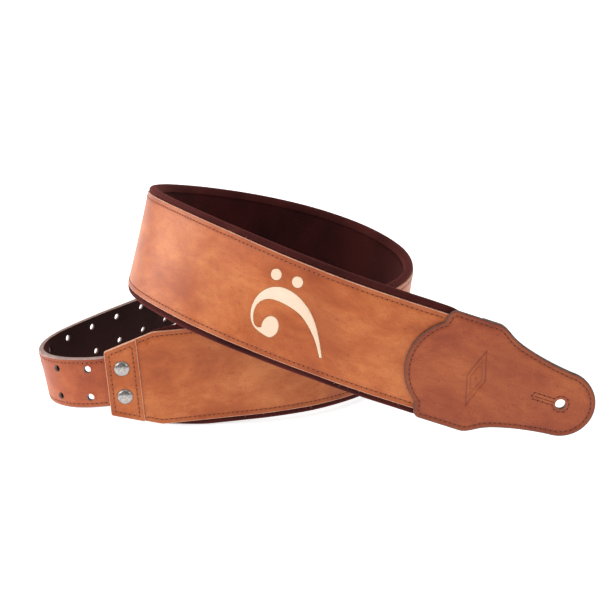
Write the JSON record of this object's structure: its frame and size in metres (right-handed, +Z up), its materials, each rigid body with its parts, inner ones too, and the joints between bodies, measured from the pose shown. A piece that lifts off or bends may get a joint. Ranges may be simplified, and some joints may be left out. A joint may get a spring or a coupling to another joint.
{
  "type": "guitar strap",
  "caption": "Wide padded leather bass strap, coiled on its edge, with an end tab, an inlaid clef and a narrow tail strap held by binding screws.",
  "frame": {"origin": "on the surface the coiled strap stands on, under the middle of its bounding box", "axes": "+Z up, +X along the coil's longest side, from the tail's bend towards the end tab's tip, +Y from the front run to the back of the coil"},
  "size_m": [0.3897, 0.3118, 0.1539],
  "materials": {
    "cognac_leather": "waxed full-grain leather, satin",
    "tab_leather": "waxed full-grain leather, redder, satin",
    "tail_leather": "waxed full-grain leather with a burnished edge",
    "brown_suede": "dark brown suede, matt",
    "black_lining": "near-black split leather, matt",
    "tab_edge": "dark backing leather with a burnished edge",
    "cream_leather": "smooth cream leather",
    "foam": "closed-cell foam, hidden",
    "nickel": "satin nickel plate",
    "thread": "waxed sewing thread"
  },
  "bodies": {
    "strap": {"shoulder_leather": "cognac_leather", "shoulder_padding": "foam", "suede_lining": "brown_suede", "clef_inlay": "cream_leather", "clef_dot_left": "cream_leather", "clef_dot_right": "cream_leather", "yoke_patch": "cognac_leather", "tail_leather": "tail_leather", "tail_lining": "black_lining", "end_tab_leather": "tab_leather", "end_tab_lining": "tab_edge", "binding_post_upper": "nickel", "binding_post_lower": "nickel", "shoulder_thread_upper": "thread", "shoulder_thread_lower": "thread", "yoke_thread": "thread", "tab_thread": "thread", "button_hole_thread": "thread", "tail_thread": "thread"},
    "upper_screw": {"binding_screw_upper": "nickel"},
    "lower_screw": {"binding_screw_lower": "nickel"}
  },
  "joints": [
    {"name": "upper_screw_turn", "type": "hinge", "parent": "strap", "child": "upper_screw", "pos_m": [-0.12716, -0.09257, 0.04523], "axis": [-0.1016, 0.9876, -0.1199], "continuous": true},
    {"name": "lower_screw_turn", "type": "hinge", "parent": "strap", "child": "lower_screw", "pos_m": [-0.12563, -0.09492, 0.02462], "axis": [-0.1016, 0.9876, -0.1199], "continuous": true}
  ]
}
